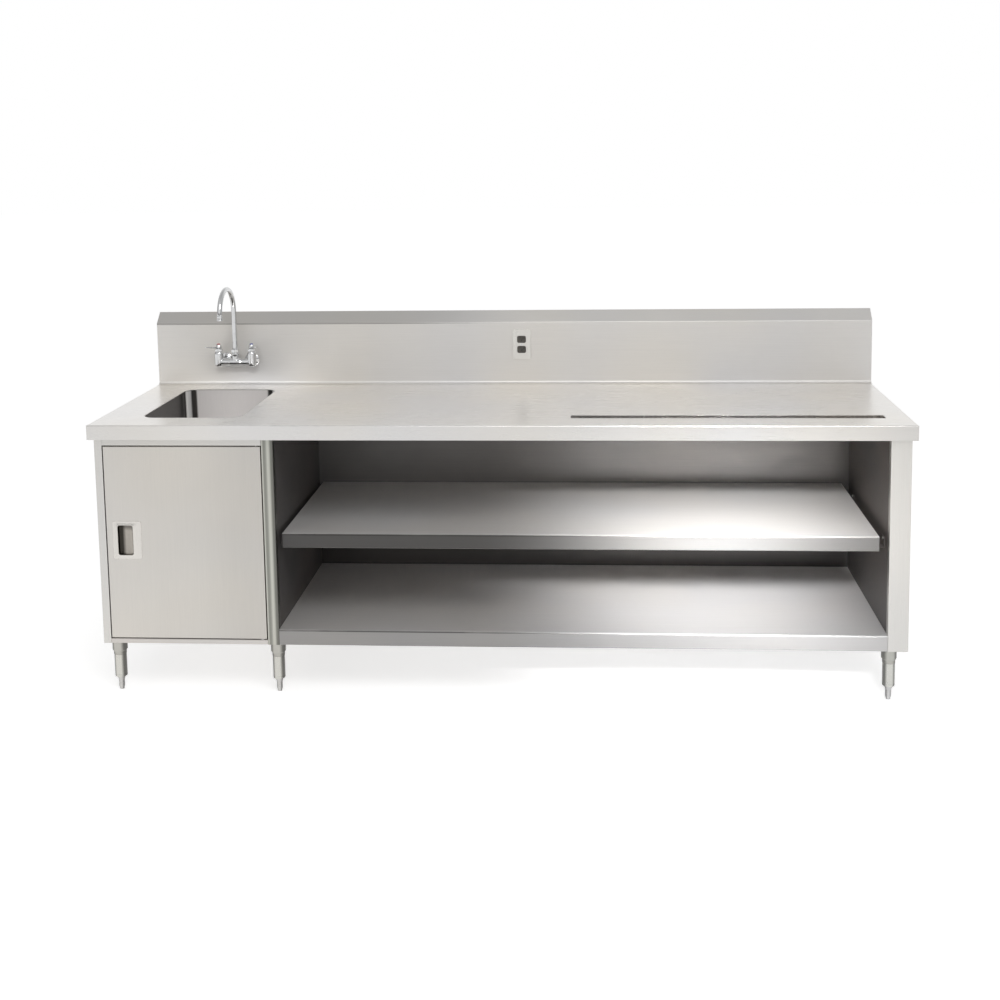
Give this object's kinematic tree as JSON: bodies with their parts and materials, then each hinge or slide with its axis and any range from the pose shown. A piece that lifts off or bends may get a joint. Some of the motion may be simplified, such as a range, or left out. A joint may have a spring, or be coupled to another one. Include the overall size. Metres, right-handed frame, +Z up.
{
  "type": "beverage counter",
  "caption": "Stainless steel beverage counter with a sink, splash-mounted faucet, drip trough, hinged cabinet door, open shelved bay and adjustable legs.",
  "frame": {"origin": "on the floor under the middle of the worktop", "axes": "+X towards the right end as the user faces it, -Y towards the user, +Z up"},
  "size_m": [2.743, 0.762, 1.3514],
  "materials": {
    "brushed_steel": "satin brushed stainless steel",
    "chrome_plate": "polished chrome plate",
    "plain_brass": "plain turned brass",
    "black_rubber": "soft black rubber",
    "dark_plastic": "moulded matte plastic",
    "plate_steel": "satin stainless cover plate"
  },
  "bodies": {
    "counter": {"worktop": "brushed_steel", "splash_end_left": "brushed_steel", "splash_end_right": "brushed_steel", "worktop_channels": "brushed_steel", "left_side_panel": "brushed_steel", "divider_panel": "brushed_steel", "divider_liner": "brushed_steel", "right_side_panel": "brushed_steel", "right_side_liner": "brushed_steel", "back_panel": "brushed_steel", "cabinet_floor": "brushed_steel", "bottom_shelf": "brushed_steel", "mid_shelf": "brushed_steel", "shelf_brackets": "brushed_steel", "door_top_rail": "brushed_steel", "door_pivot_upper": "brushed_steel", "door_pivot_lower": "brushed_steel", "leg_channels": "brushed_steel", "leg_sockets": "brushed_steel", "leg_tubes": "brushed_steel", "sink_bowl": "brushed_steel", "sink_drain_body": "brushed_steel", "trough_pan": "brushed_steel", "trough_drain": "brushed_steel", "bracket_screws": "brushed_steel", "leg_set_screws": "brushed_steel", "receptacle_box": "brushed_steel", "faucet_body": "chrome_plate", "faucet_flanges": "chrome_plate", "faucet_bonnets": "chrome_plate", "spout_nut": "chrome_plate", "receptacle_plate_screw": "chrome_plate", "faucet_lock_nuts": "plain_brass", "sink_drain_nut": "plain_brass", "sink_tailpiece": "plain_brass", "door_bumpers": "black_rubber", "sink_drain_gasket": "black_rubber", "catch_magnet": "dark_plastic", "receptacle_outlet": "dark_plastic", "receptacle_plate": "plate_steel"},
    "door": {"door_outer_pan": "brushed_steel", "door_inner_pan": "brushed_steel", "door_pull": "chrome_plate", "door_pivot_bushes": "plain_brass", "catch_strike": "brushed_steel"},
    "hot_lever": {"faucet_lever_left": "chrome_plate", "faucet_lever_cap_left": "chrome_plate"},
    "cold_lever": {"faucet_lever_right": "chrome_plate", "faucet_lever_cap_right": "chrome_plate"},
    "spout": {"gooseneck_spout": "chrome_plate", "spout_aerator": "chrome_plate"},
    "basket": {"sink_strainer": "brushed_steel"},
    "left_drip_strainer": {"trough_strainer_left": "brushed_steel"},
    "right_drip_strainer": {"trough_strainer_right": "brushed_steel"},
    "front_left_foot_body": {"front_left_foot": "brushed_steel"},
    "front_middle_foot_body": {"front_middle_foot": "brushed_steel"},
    "front_right_foot_body": {"front_right_foot": "brushed_steel"},
    "rear_left_foot_body": {"rear_left_foot": "brushed_steel"},
    "rear_middle_foot_body": {"rear_middle_foot": "brushed_steel"},
    "rear_right_foot_body": {"rear_right_foot": "brushed_steel"}
  },
  "joints": [
    {"name": "door_hinge", "type": "hinge", "parent": "counter", "child": "door", "pos_m": [-0.8045, -0.347, 0.54], "axis": [0, 0, 1], "range_deg": [0, 110]},
    {"name": "hot_valve_turn", "type": "hinge", "parent": "counter", "child": "hot_lever", "pos_m": [-1.1145, 0.285, 1.105], "axis": [0, 0, -1], "range_deg": [0, 90]},
    {"name": "cold_valve_turn", "type": "hinge", "parent": "counter", "child": "cold_lever", "pos_m": [-0.9865, 0.285, 1.105], "axis": [0, 0, 1], "range_deg": [0, 90]},
    {"name": "spout_swivel", "type": "hinge", "parent": "counter", "child": "spout", "pos_m": [-1.0505, 0.285, 1.095], "axis": [0, 0, 1], "range_deg": [-80, 80]},
    {"name": "basket_lift", "type": "slide", "parent": "counter", "child": "basket", "axis": [0, 0, 1], "range_m": [0, 0.08]},
    {"name": "left_drip_strainer_lift", "type": "slide", "parent": "counter", "child": "left_drip_strainer", "axis": [0, 0, 1], "range_m": [0, 0.06]},
    {"name": "right_drip_strainer_lift", "type": "slide", "parent": "counter", "child": "right_drip_strainer", "axis": [0, 0, 1], "range_m": [0, 0.06]},
    {"name": "front_left_foot_screw", "type": "slide", "parent": "counter", "child": "front_left_foot_body", "axis": [0, 0, 1], "range_m": [-0.025, 0]},
    {"name": "front_middle_foot_screw", "type": "slide", "parent": "counter", "child": "front_middle_foot_body", "axis": [0, 0, 1], "range_m": [-0.025, 0]},
    {"name": "front_right_foot_screw", "type": "slide", "parent": "counter", "child": "front_right_foot_body", "axis": [0, 0, 1], "range_m": [-0.025, 0]},
    {"name": "rear_left_foot_screw", "type": "slide", "parent": "counter", "child": "rear_left_foot_body", "axis": [0, 0, 1], "range_m": [-0.025, 0]},
    {"name": "rear_middle_foot_screw", "type": "slide", "parent": "counter", "child": "rear_middle_foot_body", "axis": [0, 0, 1], "range_m": [-0.025, 0]},
    {"name": "rear_right_foot_screw", "type": "slide", "parent": "counter", "child": "rear_right_foot_body", "axis": [0, 0, 1], "range_m": [-0.025, 0]}
  ]
}
